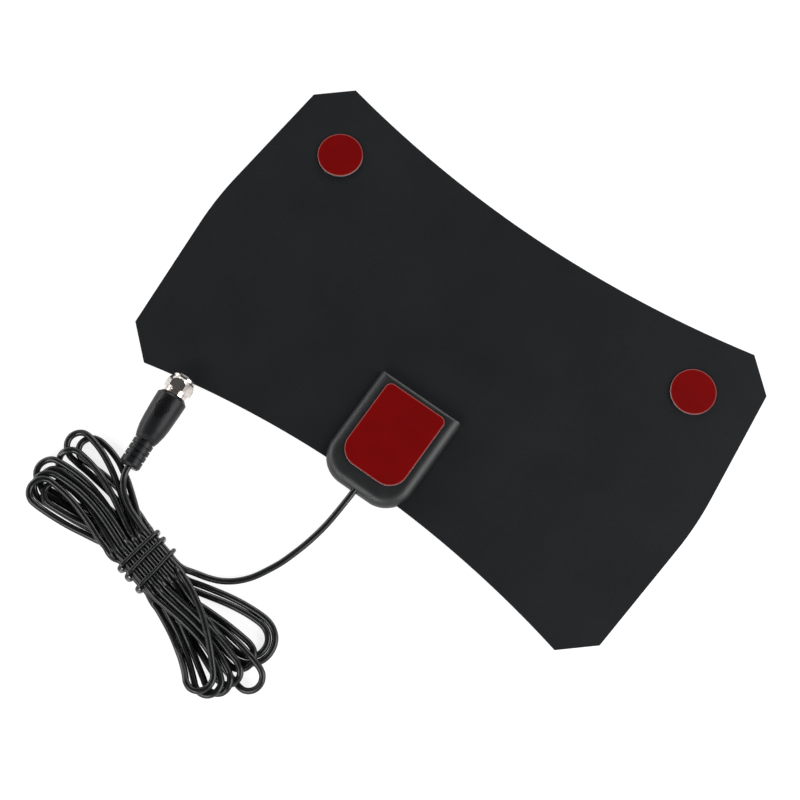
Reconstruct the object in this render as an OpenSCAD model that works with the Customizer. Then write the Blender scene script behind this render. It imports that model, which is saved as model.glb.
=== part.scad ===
// Flat indoor television antenna, lying face down with its lead tied in a hank.
// A waisted film sheet carries two foil elements and is clamped by a small housing
// at the middle of one long edge. A thin coaxial lead leaves the housing, runs into
// a tied hank and ends in a screw-on coaxial plug with a freely turning nut.
// Millimetres. X runs along the sheet, Y across it, Z up. The origin is on the
// floor under the middle of the sheet.

/* [Sheet] */
// Length of the sheet from tip to tip
sheet_l = 251; // [225:1:302]
// Width of the sheet at its corners
sheet_w = 156.2; // [130:0.1:188]
// Depth of the hollow in each long edge
hollow = 11.75; // [6:0.05:14]
// Cut corner, measured along the sheet
cut_x = 14.2; // [6:0.1:20]
// Cut corner, measured across the sheet
cut_y = 12.5; // [6:0.1:18]
// Lean of each half of a short edge, in degrees
end_lean = 5.1; // [2:0.1:8]
// Rounding where the two halves of a short edge meet
end_r = 150; // [60:1:200]
// Thickness of each of the two films
film_t = 0.3; // [0.2:0.01:0.5]

/* [Foil] */
// Thickness of the foil elements
foil_t = 0.1; // [0.05:0.01:0.15]
// Film border left free around the foil
foil_margin = 9; // [6:0.5:14]
// Gap between the two foil elements
foil_gap = 6; // [4:0.5:9]

/* [Housing] */
// Width of the housing
case_w = 41; // [38:0.5:50]
// Length of the housing
case_l = 50; // [46:0.5:56]
// Height of the back cover above the sheet
back_h = 4.6; // [4.4:0.1:6]
// Thickness of the front cover below the sheet
front_h = 2; // [1.8:0.1:3]
// How far the housing stands out past the sheet's long edge
case_out = 6; // [5:0.1:8]
// Radius of the two outer corners in plan
case_r = 13; // [10:0.5:15]
// Radius of the two inner corners in plan
case_in_r = 1.5; // [0.5:0.1:3]
// Rounding along the sides and the outer end of the back cover
roll_r = 4.3; // [2:0.1:4.4]
// Rounding along the inner end of the back cover
lip_r = 1.6; // [0.5:0.1:2.5]
// Rounding around the front cover
front_roll = 1.6; // [0.5:0.1:1.7]
// Wall thickness of both covers
wall = 1.2; // [1:0.05:1.4]
// Diameter of the moulded pins that join the covers
post_d = 3; // [2.5:0.1:3.6]
// Radial clearance of those pins in their sockets
post_gap = 0.05; // [0.02:0.01:0.1]

/* [Circuit board] */
// Width of the board
board_w = 19; // [16:0.5:22]
// Length of the board
board_l = 15; // [12:0.5:16]
// Thickness of the board
board_t = 0.8; // [0.6:0.1:1]
// Shank diameter of the eyelets that clamp the board to the foil
eyelet_d = 2; // [1.6:0.1:2.4]

/* [Adhesive pads] */
// Diameter of the two round pads
pad_d = 20; // [14:0.5:26]
// Distance from the middle of each round pad to the sheet's tip, along the sheet
pad_from_tip = 32.2; // [26:0.1:45]
// Distance from the middle of each round pad to the corners' line, across the sheet
pad_from_corner = 29.8; // [26:0.1:40]
// Flat border left beside the pad on the housing
case_pad_side = 1.3; // [0.5:0.1:3]
// Distance from the housing's inner end to its pad
case_pad_inner = 2.9; // [2:0.1:6]
// Distance from the housing's outer end to its pad
case_pad_outer = 8.5; // [5:0.1:12]
// Radius of the pad's two outer corners
case_pad_r = 8.5; // [6:0.1:10]
// Radius of the pad's two inner corners
case_pad_corner = 2.8; // [1:0.1:4]
// Thickness of the foam tape
tape_t = 0.8; // [0.5:0.05:1.2]
// Thickness of the release liner
liner_t = 0.12; // [0.08:0.01:0.2]

/* [Lead] */
// Diameter of the lead's jacket
lead_d = 2.8; // [2.4:0.01:3.4]
// Diameter of the insulation around the inner conductor
core_d = 1.6; // [1.2:0.1:1.8]
// Diameter of the inner conductor
conductor_d = 0.6; // [0.4:0.05:0.8]
// Clearance around the lead in the housing's outlet
outlet_gap = 0.1; // [0.05:0.01:0.2]

/* [Hank] */
// Height of the hank
hank_h = 9.4; // [8:0.1:12]
// Width of the bundle under the tie
waist_hank_w = 20; // [16:0.5:24]
// Radius of the hank's left end
lobe_left_r = 17; // [14:0.5:20]
// Radius of the hank's right end
lobe_right_r = 18.5; // [15:0.5:21]
// Diameter of the tie wire
tie_d = 1.7; // [1.2:0.1:2]

/* [Plug] */
// Diameter of the boot at its grip
boot_d = 13.6; // [12.5:0.1:15]
// Diameter of the boot's ribbed tail
boot_tail_d = 9.2; // [8:0.1:10]
// Length of the boot
boot_l = 35.4; // [33:0.1:38]
// Number of relief grooves around the tail
groove_count = 4; // [2:1:5]
// Nut size across the flats
nut_af = 11; // [11:0.1:11.2]
// Diameter of the nut's round ends
nut_ring_d = 10.2; // [10:0.1:10.8]
// Length of the nut
nut_l = 7.9; // [7.4:0.1:9.5]
// Length of the collar between the boot and the nut
collar_l = 1.2; // [0.8:0.1:2]
// Minor diameter of the nut's thread
thread_minor_d = 8.7; // [8.2:0.01:9]
// Radial clearance of the nut on its sleeve
nut_gap = 0.05; // [0.02:0.01:0.1]
// Gap between the nut and the parts behind it
nut_end_gap = 0.35; // [0.3:0.05:0.6]

/* [Hidden] */

// Sheet: heights and the shallow bow that lets its tips touch the floor
sheet_t = 2 * film_t;
sheet_top = front_h + sheet_t;
flat_half = case_w / 2 + 1;
bow_run = sheet_l / 2 - flat_half;
bow_r = (bow_run * bow_run + front_h * front_h) / (2 * front_h);
half_w = sheet_w / 2;
waist_half = half_w - hollow;
end_corner_y = half_w - cut_y;
end_tangent_y = end_r * sin(end_lean);
end_tangent_x = sheet_l / 2 - end_r * (1 - cos(end_lean));
end_corner_x = end_tangent_x - (end_corner_y - end_tangent_y) * tan(end_lean);
long_corner_x = end_corner_x - cut_x;
hollow_r = (long_corner_x * long_corner_x + hollow * hollow) / (2 * hollow);
end_steps = 8;
edge_steps = 48;
foil_clear = 1.5;
bow_steps = 16;
past = 1;

// Housing
case_bottom = -waist_half - case_out;
case_top = case_bottom + case_l;
board_inset = 21;
board_y = case_top - board_inset;
post_side = 5.3;
post_x = case_w / 2 - post_side;
post_inner = 6;
post_top_y = case_top - post_inner;
post_outer = wall + post_d / 2 + 0.7;
post_low_y = case_bottom + post_outer;
post_low_x = case_r / 2;
post_skin = 0.8;
post_tip_gap = 0.2;
edge_gap = 0.5;
step_root = 0.3;
socket_wall = 1.1;
eyelet_x = 7;
eyelet_head_d = 3.6;
eyelet_head_t = 0.3;
eyelet_bore_d = 1.2;
eyelet_gap = 0.05;
core_l = 5;
core_w = 4;
core_h = 1.9;
core_hole_d = 0.9;
winding_d = 0.5;
jacket_in = 11.35;
lead_in = case_bottom + jacket_in;
strip_y = board_y - board_l / 2 - 1.2;
tip_y = board_y - board_l / 2 + 2.2;
braid_part = 0.6;
braid_t = 0.25;
saddle_l = 1.6;
saddle_in = 2;
lead_play = 0.05;
lead_z = sheet_top + lead_d / 2 + lead_play;

// Adhesive pads
case_pad_w = case_w - 2 * (roll_r + case_pad_side);
case_pad_y = case_top - case_pad_inner;
case_pad_l = case_l - case_pad_inner - case_pad_outer;
pad_x = sheet_l / 2 - pad_from_tip;
pad_y = half_w - pad_from_corner;
pad_tilt = asin((pad_x - flat_half) / (bow_r + sheet_t));
pad_z = front_h - bow_r + (bow_r + sheet_t) * cos(pad_tilt);
case_pad_z = sheet_top + back_h;
pad_fn = 96;

// Plug: it lies along the floor with its nose just over the sheet's edge
plug_lean = 5;
plug_x = -86.2;
plug_over = 0.15;
plug_z = boot_d / 2 + 0.05;
plug_l = boot_l + collar_l + nut_end_gap + nut_l;
plug_run = [-sin(plug_lean), cos(plug_lean)];
edge_sag = hollow_r - sqrt(hollow_r * hollow_r - plug_x * plug_x);
plug_nose = [plug_x, plug_over - waist_half - edge_sag];
plug_tail = plug_nose - plug_l * plug_run;
knurl_l = 12;

// Lead: sides of its tube, and its routes, counted from the middle of the housing's
// outlet on the floor
lead_sides = 8;
floor_z = lead_d / 2;
outlet = [0, case_bottom, 0];
free_route = [
    [-0.2, -5.6, 3.8], [-0.6, -11.6, 3], [-1.2, -17.6, 2.1], [-2.2, -23.6, 1.5],
    [-3.5, -29.6, floor_z], [-5.2, -35.6, floor_z], [-7.2, -41.6, floor_z],
    [-10, -47.6, floor_z], [-13.4, -53.6, floor_z], [-17.8, -58.6, 1.5],
    [-22.8, -62.2, 1.8], [-28, -64.4, 2.4], [-33, -65.8, 3.2]
];
lead_route = concat(
    [[0, lead_in, lead_z], [0, case_bottom + jacket_in / 2, lead_z], [0, case_bottom, lead_z]],
    [for (p = free_route) outlet + p]
);
tail_in = plug_tail + (boot_l - knurl_l) * plug_run;
plug_end = [plug_tail[0], plug_tail[1], plug_z];
tail_route = concat(
    [[tail_in[0], tail_in[1], plug_z], plug_end],
    [for (p = [[0.4, -2.4, 0], [1.3, -5.2, 0.1]]) plug_end + p],
    [for (p = [[-79.2, -54.2, 7.1], [-76.6, -56.8, 7.1], [-73, -59.2, 7], [-69, -61.2, 6.8]]) outlet + p]
);
route_split = 3;

// Hank: the middles of its two ends and of the tied waist
outlet_at = [0, case_bottom];
lobe_left = outlet_at + [-96, -62.6];
lobe_right = outlet_at + [-5.5, -84.1];
waist_at = outlet_at + [-51, -73.6];
waist_angle = -13;
waist_l = 19;
waist_play = 0.05;
tie_at = [-8, -6.5, -4.5, -2.5, 1, 4.8, 7];
tie_corner = 3;
tie_corner_steps = 3;

// Plug: boot, body and nut
boot_tail_l = 12.6;
boot_front = 1.6;
groove_w = 0.8;
groove_depth = 0.7;
groove_pitch = 2.75;
grip_at = 7.6;
grip_w = 7.2;
grip_l = 10.2;
grip_bump = 0.8;
grip_pitch = 1.15;
grip_rise = 0.3;
grip_root = 0.5;
flange_play = 0.25;
flange_d = thread_minor_d - 2 * flange_play;
flange_l = 1;
sleeve_d = flange_d - 1.2;
collar_d = 10.2;
knurl_d = 7.8;
insulator_d = 5.2;
lip_l = 1.4;
nut_ring_l = 2;
nut_back_l = 0.7;
nut_chamfer = 1;
hex_back_cut = 0.3;
hex_cone_l = 2.2;
hex_step = 0.1;
pin_inset = 0.6;
nut_back = plug_l - nut_l;
body_front = nut_back + lip_l + nut_end_gap + flange_l;
body_back = boot_l - knurl_l;

function arc_points(centre, r, from, to, steps) = [
    for (i = [0:steps]) let (a = from + (to - from) * i / steps)
    centre + r * [cos(a), sin(a)]
];

function turned(points) = [for (i = [len(points) - 1:-1:0]) points[i]];

// Plan of the sheet with a border taken off all round: two hollow arcs about their own
// centres, and at each end two leaning edges that meet in a rounded tip
module sheet_plan(border = 0) {
    r = hollow_r + border;
    spread = asin((long_corner_x - border) / r);
    hollow_edge = arc_points([0, waist_half + hollow_r], r, 270 - spread, 270 + spread, edge_steps);
    tip = arc_points([sheet_l / 2 - end_r - border, 0], end_r, end_lean, -end_lean, end_steps);
    corner = [end_corner_x - border, end_corner_y - border];
    right_end = concat([corner], tip, [[corner[0], -corner[1]]]);
    polygon(concat(
        hollow_edge, right_end,
        [for (p = hollow_edge) -p], [for (p = right_end) -p]
    ));
}

// Side view of a layer between two heights over the sheet's underside: flat under
// the housing and bowed down towards both tips
module bow_profile(low, high) {
    reach = asin((bow_run + past) / bow_r);
    centre = [flat_half, front_h - bow_r];
    upper = arc_points(centre, bow_r + high, 90, 90 - reach, bow_steps);
    lower = arc_points(centre, bow_r + low, 90, 90 - reach, bow_steps);
    polygon(concat(
        turned([for (p = upper) [-p[0], p[1]]]), upper,
        turned(lower), [for (p = lower) [-p[0], p[1]]]
    ));
}

// A layer of the sheet with the plan of the children
module bowed_layer(low, high) {
    intersection() {
        translate([0, 0, -past]) linear_extrude(height = sheet_top + 2 * past) children();
        rotate([90, 0, 0]) linear_extrude(height = sheet_w + 2 * past, center = true)
            bow_profile(low, high);
    }
}

// Places where the covers' pins pass, and where the eyelets pass
module at_posts() {
    for (side = [-1, 1]) {
        translate([side * post_x, post_top_y]) children();
        translate([side * post_low_x, post_low_y]) children();
    }
}

module at_eyelets() {
    for (side = [-1, 1]) translate([side * eyelet_x, board_y]) children();
}

module sheet_holes() {
    at_posts() circle(d = post_d + 2 * outlet_gap, $fn = 32);
    at_eyelets() circle(d = eyelet_d + 2 * eyelet_gap, $fn = 32);
}

// One foil element: the inset plan on one side of the middle, round the pin holes
module foil_plan() {
    difference() {
        intersection() {
            sheet_plan(foil_margin);
            translate([foil_gap / 2, -half_w]) square([sheet_l, sheet_w]);
        }
        translate([eyelet_x, board_y]) circle(d = eyelet_d + 2 * eyelet_gap, $fn = 32);
        translate([post_x, post_top_y]) circle(d = post_d + 2 * foil_clear, $fn = 32);
    }
}

module front_film() {
    color("#1e1f23") bowed_layer(0, film_t) difference() {
        sheet_plan();
        sheet_holes();
    }
}

// The back film has a shallow pocket pressed in by each foil element
module back_film() {
    color("#1e1f23") difference() {
        bowed_layer(film_t, sheet_t) difference() {
            sheet_plan();
            sheet_holes();
        }
        for (side = [0, 1]) {
            mirror([side, 0, 0]) bowed_layer(film_t - foil_t, film_t + foil_t) foil_plan();
        }
    }
}

module foil_half() {
    color("#b9bcc0") bowed_layer(film_t, film_t + foil_t) foil_plan();
}

// Quarter-round outer edge as a solid of revolution's half section
module round_section(reach, height, roll) {
    difference() {
        square([reach, height]);
        translate([reach - roll, height - roll]) difference() {
            square(roll + past);
            circle(r = roll, $fn = 96);
        }
    }
}

// Section through a bar with both upper edges rounded
module rounded_bar(low, high, height, low_roll, high_roll) {
    middle = (low + high) / 2;
    translate([middle, 0]) round_section(high - middle, height, high_roll);
    translate([middle, 0]) mirror([1, 0]) round_section(middle - low, height, low_roll);
}

// D-shaped plan: two square corners at the inner end and two round ones outside
module d_plan(width, low, high, corner) {
    translate([-width / 2, low + corner]) square([width, high - low - corner]);
    translate([corner - width / 2, low]) square([width - 2 * corner, corner + past]);
    for (side = [-1, 1]) {
        translate([side * (width / 2 - corner), low + corner]) circle(r = corner, $fn = 128);
    }
}

// Plan whose two inner corners are rounded
module inner_plan(width, low, high, r) {
    translate([-width / 2, low]) square([width, high - low - r]);
    translate([r - width / 2, low]) square([width - 2 * r, high - low]);
    for (side = [-1, 1]) translate([side * (width / 2 - r), high - r]) circle(r = r, $fn = 48);
}

// D-shaped block: rolled sides and outer end, a tighter rounding at the inner end
module d_block(width, low, high, corner, height, roll, inner_roll, in_corner) {
    half = width / 2;
    intersection() {
        translate([0, 0, -past]) linear_extrude(height = height + 2 * past)
            inner_plan(width, low, high, in_corner);
        translate([0, high, 0]) rotate([90, 0, 0]) linear_extrude(height = high - low - corner)
            rounded_bar(-half, half, height, roll, roll);
        rotate([90, 0, 90]) linear_extrude(height = width + past, center = true)
            rounded_bar(low, high, height, roll, inner_roll);
    }
    rotate([90, 0, 90]) linear_extrude(height = width - 2 * corner, center = true)
        rounded_bar(low, high, height, roll, inner_roll);
    for (side = [-1, 1]) {
        translate([side * (half - corner), low + corner, 0])
            rotate_extrude($fn = 128) round_section(corner, height, roll);
    }
}

// Back cover: a D-shaped shell with sockets for the pins and a saddle on the lead
module back_cover() {
    color("#232627") difference() {
        union() {
            difference() {
                translate([0, 0, sheet_top])
                    d_block(case_w, case_bottom, case_top, case_r, back_h, roll_r, lip_r, case_in_r);
                translate([0, 0, sheet_top - past]) d_block(
                    case_w - 2 * wall, case_bottom + wall, case_top - wall, case_r - wall,
                    back_h - wall + past, roll_r - wall, max(lip_r - wall, 0.2), max(case_in_r - wall, 0.2)
                );
            }
            translate([0, 0, sheet_top]) at_posts()
                cylinder(d = post_d + 2 * socket_wall, h = back_h - wall / 2, $fn = 48);
            for (y = [lead_in - saddle_in, case_bottom + wall]) {
                translate([-lead_d, y, lead_z])
                    cube([2 * lead_d, saddle_l, back_h - wall / 2 - lead_z + sheet_top]);
            }
        }
        translate([0, 0, sheet_top - past]) at_posts()
            cylinder(d = post_d + 2 * post_gap, h = back_h - post_skin + past, $fn = 48);
        lead_channel(lead_d / 2 + outlet_gap);
    }
}

// Round-roofed channel for the lead, open downwards
module lead_channel(r) {
    run = jacket_in + saddle_in;
    translate([0, case_bottom + run, lead_z]) rotate([90, 0, 0])
        cylinder(r = r, h = run + past, $fn = 48);
    translate([-r, case_bottom - past, sheet_top - past])
        cube([2 * r, run + past, lead_z - sheet_top + past]);
}

// Front cover: a shallow tray with the four pins, stepped up past the sheet's edge
module front_cover() {
    edge_y = -waist_half - edge_gap;
    color("#232627") difference() {
        union() {
            translate([0, 0, front_h]) mirror([0, 0, 1])
                d_block(case_w, case_bottom, case_top, case_r, front_h, front_roll, front_roll, case_in_r);
            translate([0, 0, front_h - step_root])
                linear_extrude(height = sheet_t + step_root) intersection() {
                    d_plan(case_w, case_bottom, case_top, case_r);
                    translate([-case_w, case_bottom - past])
                        square([2 * case_w, edge_y - case_bottom + past]);
                }
            at_posts() cylinder(d = post_d, h = sheet_top + back_h - post_skin - post_tip_gap, $fn = 48);
        }
        translate([-board_w / 2, board_y - board_l / 2, wall])
            cube([board_w, board_l, front_h]);
    }
}

// Board on the back film, drilled for the eyelets
module circuit_board() {
    color("#1f5c35") difference() {
        translate([-board_w / 2, board_y - board_l / 2, sheet_top])
            cube([board_w, board_l, board_t]);
        translate([0, 0, sheet_top - past]) at_eyelets()
            cylinder(d = eyelet_d + 2 * eyelet_gap, h = board_t + 2 * past, $fn = 48);
    }
}

// Ferrite block with two holes, as used in a matching transformer
module balun_core() {
    color("#3a3a3c") difference() {
        translate([-core_l / 2, board_y - core_w / 2, sheet_top + board_t])
            cube([core_l, core_w, core_h]);
        for (side = [-1, 1]) {
            translate([0, board_y + side * core_w / 4, sheet_top + board_t + core_h / 2])
                rotate([0, 90, 0]) cylinder(d = core_hole_d, h = core_l + past, center = true, $fn = 32);
        }
    }
}

// Wire loop through both holes of the core
module balun_winding() {
    color("#b8692f") translate([0, board_y, sheet_top + board_t + core_h / 2]) {
        for (side = [-1, 1]) {
            translate([0, side * core_w / 4, 0]) rotate([0, 90, 0])
                cylinder(d = winding_d, h = core_l + 2 * winding_d, center = true, $fn = 32);
            translate([side * (core_l / 2 + winding_d), 0, 0]) rotate([90, 0, 0])
                cylinder(d = winding_d, h = core_w / 2 + winding_d, center = true, $fn = 32);
        }
    }
}

// Hollow eyelet that clamps board, films and one foil element together
module eyelet() {
    low = front_h - eyelet_head_t;
    high = sheet_top + board_t;
    color("#c9a24a") translate([eyelet_x, board_y, 0]) difference() {
        union() {
            translate([0, 0, low]) cylinder(d = eyelet_d, h = high - low + eyelet_head_t, $fn = 48);
            translate([0, 0, low]) cylinder(d = eyelet_head_d, h = eyelet_head_t, $fn = 48);
            translate([0, 0, high]) cylinder(d = eyelet_head_d, h = eyelet_head_t, $fn = 48);
        }
        translate([0, 0, low - past]) cylinder(d = eyelet_bore_d, h = high - low + 3 * past, $fn = 48);
    }
}

// Foam disc with a flat top square to the bowed sheet, filled down to the sheet
module round_tape() {
    color("#c9b3ad") difference() {
        translate([pad_x, pad_y, pad_z]) rotate([0, pad_tilt, 0]) translate([0, 0, -film_t])
            cylinder(d = pad_d, h = film_t + tape_t, $fn = pad_fn);
        rotate([90, 0, 0]) linear_extrude(height = sheet_w + 2 * past, center = true)
            bow_profile(-past, sheet_t);
    }
}

module round_liner() {
    color("#8c1414") translate([pad_x, pad_y, pad_z]) rotate([0, pad_tilt, 0])
        translate([0, 0, tape_t]) cylinder(d = pad_d, h = liner_t, $fn = pad_fn);
}

// Plan of the pad on the housing: wide rounded corners at the outer end
module case_pad_plan() {
    low = case_pad_y - case_pad_l;
    half = case_pad_w / 2;
    for (side = [-1, 1]) {
        translate([side * (half - case_pad_r), low + case_pad_r]) circle(r = case_pad_r, $fn = 96);
        translate([side * (half - case_pad_corner), case_pad_y - case_pad_corner])
            circle(r = case_pad_corner, $fn = 48);
    }
    translate([-half, low + case_pad_r]) square([2 * half, case_pad_l - case_pad_r - case_pad_corner]);
    translate([case_pad_r - half, low]) square([2 * (half - case_pad_r), case_pad_l / 2]);
    translate([case_pad_corner - half, low + case_pad_l / 2])
        square([2 * (half - case_pad_corner), case_pad_l / 2]);
}

module tape_case() {
    color("#c9b3ad") translate([0, 0, case_pad_z]) linear_extrude(height = tape_t) case_pad_plan();
}

module liner_case() {
    color("#8c1414") translate([0, 0, case_pad_z + tape_t])
        linear_extrude(height = liner_t) case_pad_plan();
}

// Smooth path through hand-set points, by Catmull-Rom interpolation
function route_point(p, i, t) = let (
    a = p[max(i - 1, 0)], b = p[i], c = p[i + 1], d = p[min(i + 2, len(p) - 1)]
) b + 0.5 * t * (c - a + t * (2 * a - 5 * b + 4 * c - d + t * (3 * (b - c) + d - a)));

function route(p, steps) = concat(
    [for (i = [0:len(p) - 2], s = [0:steps - 1]) route_point(p, i, s / steps)],
    [p[len(p) - 1]]
);

function unit(v) = v / norm(v);

function heading(path, i) = unit(path[min(i + 1, len(path) - 1)] - path[max(i - 1, 0)]);

// Ring of a round tube, square to its path, with its corners counted from a direction
// that the path never takes
function ring(path, i, r, sides, aside) = let (
    along = heading(path, i),
    across = unit(cross(along, aside)),
    up = cross(across, along)
) [for (k = [0:sides - 1]) let (a = 360 * (k + 0.5) / sides) path[i] + r * (cos(a) * across + sin(a) * up)];

module tube(path, d, sides, aside = [0, 0, 1]) {
    n = len(path);
    points = [for (i = [0:n - 1]) each ring(path, i, d / 2, sides, aside)];
    walls = [for (i = [0:n - 2], k = [0:sides - 1]) let (q = (k + 1) % sides)
        [i * sides + k, i * sides + q, (i + 1) * sides + q, (i + 1) * sides + k]];
    ends = [[for (k = [sides - 1:-1:0]) k], [for (k = [0:sides - 1]) (n - 1) * sides + k]];
    polyhedron(points = points, faces = concat(walls, ends), convexity = 6);
}

module lead() {
    color("#1b1c1e") tube(route(lead_route, route_split), lead_d, lead_sides);
}

module lead_tail() {
    color("#1b1c1e") tube(route(tail_route, route_split), lead_d, lead_sides);
}

// Stripped end of the lead inside the housing
module lead_dielectric() {
    color("#ece9e0") translate([0, lead_in, lead_z]) rotate([-90, 0, 0]) difference() {
        cylinder(d = core_d, h = strip_y - lead_in, $fn = 32);
        translate([0, 0, -past]) cylinder(d = conductor_d, h = strip_y - lead_in + 2 * past, $fn = 32);
    }
}

module lead_braid() {
    color("#b87b4b") translate([0, lead_in, lead_z]) rotate([-90, 0, 0]) difference() {
        cylinder(d = core_d + 2 * braid_t, h = (strip_y - lead_in) * braid_part, $fn = 32);
        translate([0, 0, -past]) cylinder(d = core_d, h = strip_y - lead_in + 2 * past, $fn = 32);
    }
}

module lead_conductor() {
    board_top = sheet_top + board_t;
    color("#c47a3d") {
        translate([0, lead_in, lead_z]) rotate([-90, 0, 0])
            cylinder(d = conductor_d, h = tip_y - lead_in, $fn = 32);
        translate([0, tip_y - conductor_d / 2, board_top])
            cylinder(d = conductor_d, h = lead_z - board_top, $fn = 32);
    }
}

// Plan of the hank: two round ends joined through a narrow waist
module hank_plan() {
    translate(lobe_left) circle(r = lobe_left_r, $fn = 96);
    translate(lobe_right) circle(r = lobe_right_r, $fn = 96);
    polygon([
        lobe_left + [0, lobe_left_r], waist_at + [0, waist_hank_w / 2],
        lobe_right + [0, lobe_right_r], lobe_right - [0, lobe_right_r],
        waist_at - [0, waist_hank_w / 2], lobe_left - [0, lobe_left_r]
    ]);
}

// Section through the tied waist: a rectangle with the corners that the tie allows
module waist_section() {
    r = tie_corner - tie_d / 2 - waist_play;
    half = waist_hank_w / 2;
    high = hank_h - tie_d - 2 * waist_play;
    translate([-half, r]) square([2 * half, high - 2 * r]);
    translate([r - half, 0]) square([2 * (half - r), high]);
    for (x = [r - half, half - r], y = [r, high - r]) translate([x, y]) circle(r = r, $fn = 48);
}

// Bundle of the coiled lead: lobes on the floor, a waist lifted by the tie under it
module lead_hank() {
    color("#1b1c1e") {
        difference() {
            linear_extrude(height = hank_h) hank_plan();
            translate(waist_at) rotate(waist_angle)
                translate([-waist_l / 2, -waist_hank_w, -past])
                    cube([waist_l, 2 * waist_hank_w, hank_h + 2 * past]);
        }
        translate([waist_at[0], waist_at[1], tie_d + waist_play]) rotate([90, 0, 90 + waist_angle])
            linear_extrude(height = waist_l, center = true) waist_section();
    }
}

// Points half way round a rectangle with rounded corners, from one level side's middle
// over the corners on its right to the other side's middle
function half_frame(half_x, half_z, r) = [
    for (corner = [0, 1], j = [0:tie_corner_steps]) let (
        a = 90 * (corner + j / tie_corner_steps) - 90,
        over = corner == 0 ? -1 : 1
    ) [half_x - r + r * cos(a), over * (half_z - r) + r * sin(a)]
];

// Tie wire: half turns round the waist from below to above and back. The places where
// it passes under and over lie along the waist by a hand-set list.
module cord_tie() {
    up = half_frame((waist_hank_w + tie_d) / 2 + waist_play, hank_h / 2, tie_corner);
    n = len(up);
    path = [for (i = [0:len(tie_at) - 2], j = [0:n - 1]) let (
        p = i % 2 == 0 ? up[j] : -up[j]
    ) [tie_at[i] + (tie_at[i + 1] - tie_at[i]) * (j + 0.5) / n, p[0], (hank_h + tie_d) / 2 + p[1]]];
    color("#141516") translate(waist_at) rotate(waist_angle)
        tube(path, tie_d, lead_sides, [1, 0, 0]);
}

// Everything on the plug is drawn along +Z from the boot's tail and laid down here
module on_plug_axis() {
    translate([plug_tail[0], plug_tail[1], plug_z]) rotate([0, 0, plug_lean]) rotate([-90, 0, 0])
        children();
}

// Half section of the moulded boot: ribbed tail, shoulder, taper, grip, front edge
module boot_section() {
    tail_r = boot_tail_d / 2;
    grip_r = boot_d / 2;
    difference() {
        polygon([
            [lead_d / 2, 0], [tail_r - 0.7, 0], [tail_r, 0.9], [tail_r, boot_tail_l],
            [tail_r + 0.7, boot_tail_l + 2], [grip_r - 0.75, boot_tail_l + 5.5],
            [grip_r - 0.4, boot_tail_l + 9], [grip_r - 0.1, boot_tail_l + 16],
            [grip_r, boot_tail_l + 20], [grip_r, boot_l - boot_front],
            [grip_r - boot_front, boot_l], [knurl_d / 2, boot_l],
            [knurl_d / 2, body_back], [lead_d / 2, body_back]
        ]);
        for (i = [0:groove_count - 1]) {
            translate([tail_r - groove_depth, boot_tail_l - i * groove_pitch - groove_w])
                square([groove_depth + past, groove_w]);
        }
    }
}

module plug_boot() {
    rows = floor(grip_l / 2 / grip_pitch);
    columns = floor(grip_w / 2 / grip_pitch);
    color("#27282b") on_plug_axis() {
        rotate_extrude($fn = 96) boot_section();
        for (i = [-rows:rows], j = [-columns:columns]) {
            across = (i % 2 == 0 ? j : j + 0.5) * grip_pitch;
            if (norm([2 * i * grip_pitch / grip_l, 2 * across / grip_w]) <= 1)
                rotate([0, 0, across * 360 / (PI * boot_d) - 90])
                    translate([boot_d / 2 - grip_root, 0, boot_l - grip_at + i * grip_pitch])
                        rotate([0, 90, 0]) cylinder(d = grip_bump, h = grip_root + grip_rise, $fn = 16);
        }
    }
}

// Metal body: sleeve gripped by the boot, collar, and the flange that keeps the nut on
module plug_body() {
    color("#c8c4bb") on_plug_axis() rotate_extrude($fn = 96) polygon([
        [insulator_d / 2, body_back], [knurl_d / 2, body_back],
        [knurl_d / 2, boot_l], [collar_d / 2, boot_l],
        [collar_d / 2, nut_back - nut_end_gap], [sleeve_d / 2, nut_back - nut_end_gap],
        [sleeve_d / 2, body_front - flange_l], [flange_d / 2, body_front - flange_l],
        [flange_d / 2, body_front], [insulator_d / 2, body_front]
    ]);
}

module plug_insulator() {
    color("#ece9e0") on_plug_axis() translate([0, 0, body_back]) difference() {
        cylinder(d = insulator_d, h = body_front - body_back, $fn = 64);
        translate([0, 0, -past]) cylinder(d = conductor_d, h = body_front, $fn = 32);
    }
}

module plug_pin() {
    color("#c47a3d") on_plug_axis() translate([0, 0, body_back])
        cylinder(d = conductor_d, h = plug_l - pin_inset - body_back, $fn = 32);
}

// Half section of what the lathe leaves of the hexagon: a small cut behind, a long cone in front
module hex_turning() {
    r = nut_af / cos(30) / 2;
    low = nut_back_l - past;
    high = nut_l - nut_ring_l;
    polygon([
        [0, low], [r - hex_back_cut, low], [r, nut_back_l + hex_back_cut], [r, high - hex_cone_l],
        [nut_ring_d / 2 + hex_step, high], [nut_ring_d / 2 + hex_step, high + past], [0, high + past]
    ]);
}

// Hexagonal nut between two round ends, threaded inside, with an inward lip behind
module plug_nut() {
    color("#d2cec4") on_plug_axis() translate([0, 0, nut_back]) difference() {
        union() {
            cylinder(d = nut_ring_d, h = nut_l - nut_chamfer, $fn = 96);
            translate([0, 0, nut_l - nut_chamfer])
                cylinder(d1 = nut_ring_d, d2 = nut_ring_d - 2 * nut_chamfer, h = nut_chamfer, $fn = 96);
            intersection() {
                translate([0, 0, nut_back_l])
                    cylinder(d = nut_af / cos(30), h = nut_l - nut_back_l - nut_ring_l, $fn = 6);
                rotate_extrude($fn = 96) hex_turning();
            }
        }
        translate([0, 0, -past]) cylinder(d = sleeve_d + 2 * nut_gap, h = nut_l, $fn = 64);
        translate([0, 0, lip_l]) cylinder(d = thread_minor_d, h = nut_l, $fn = 64);
    }
}

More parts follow.
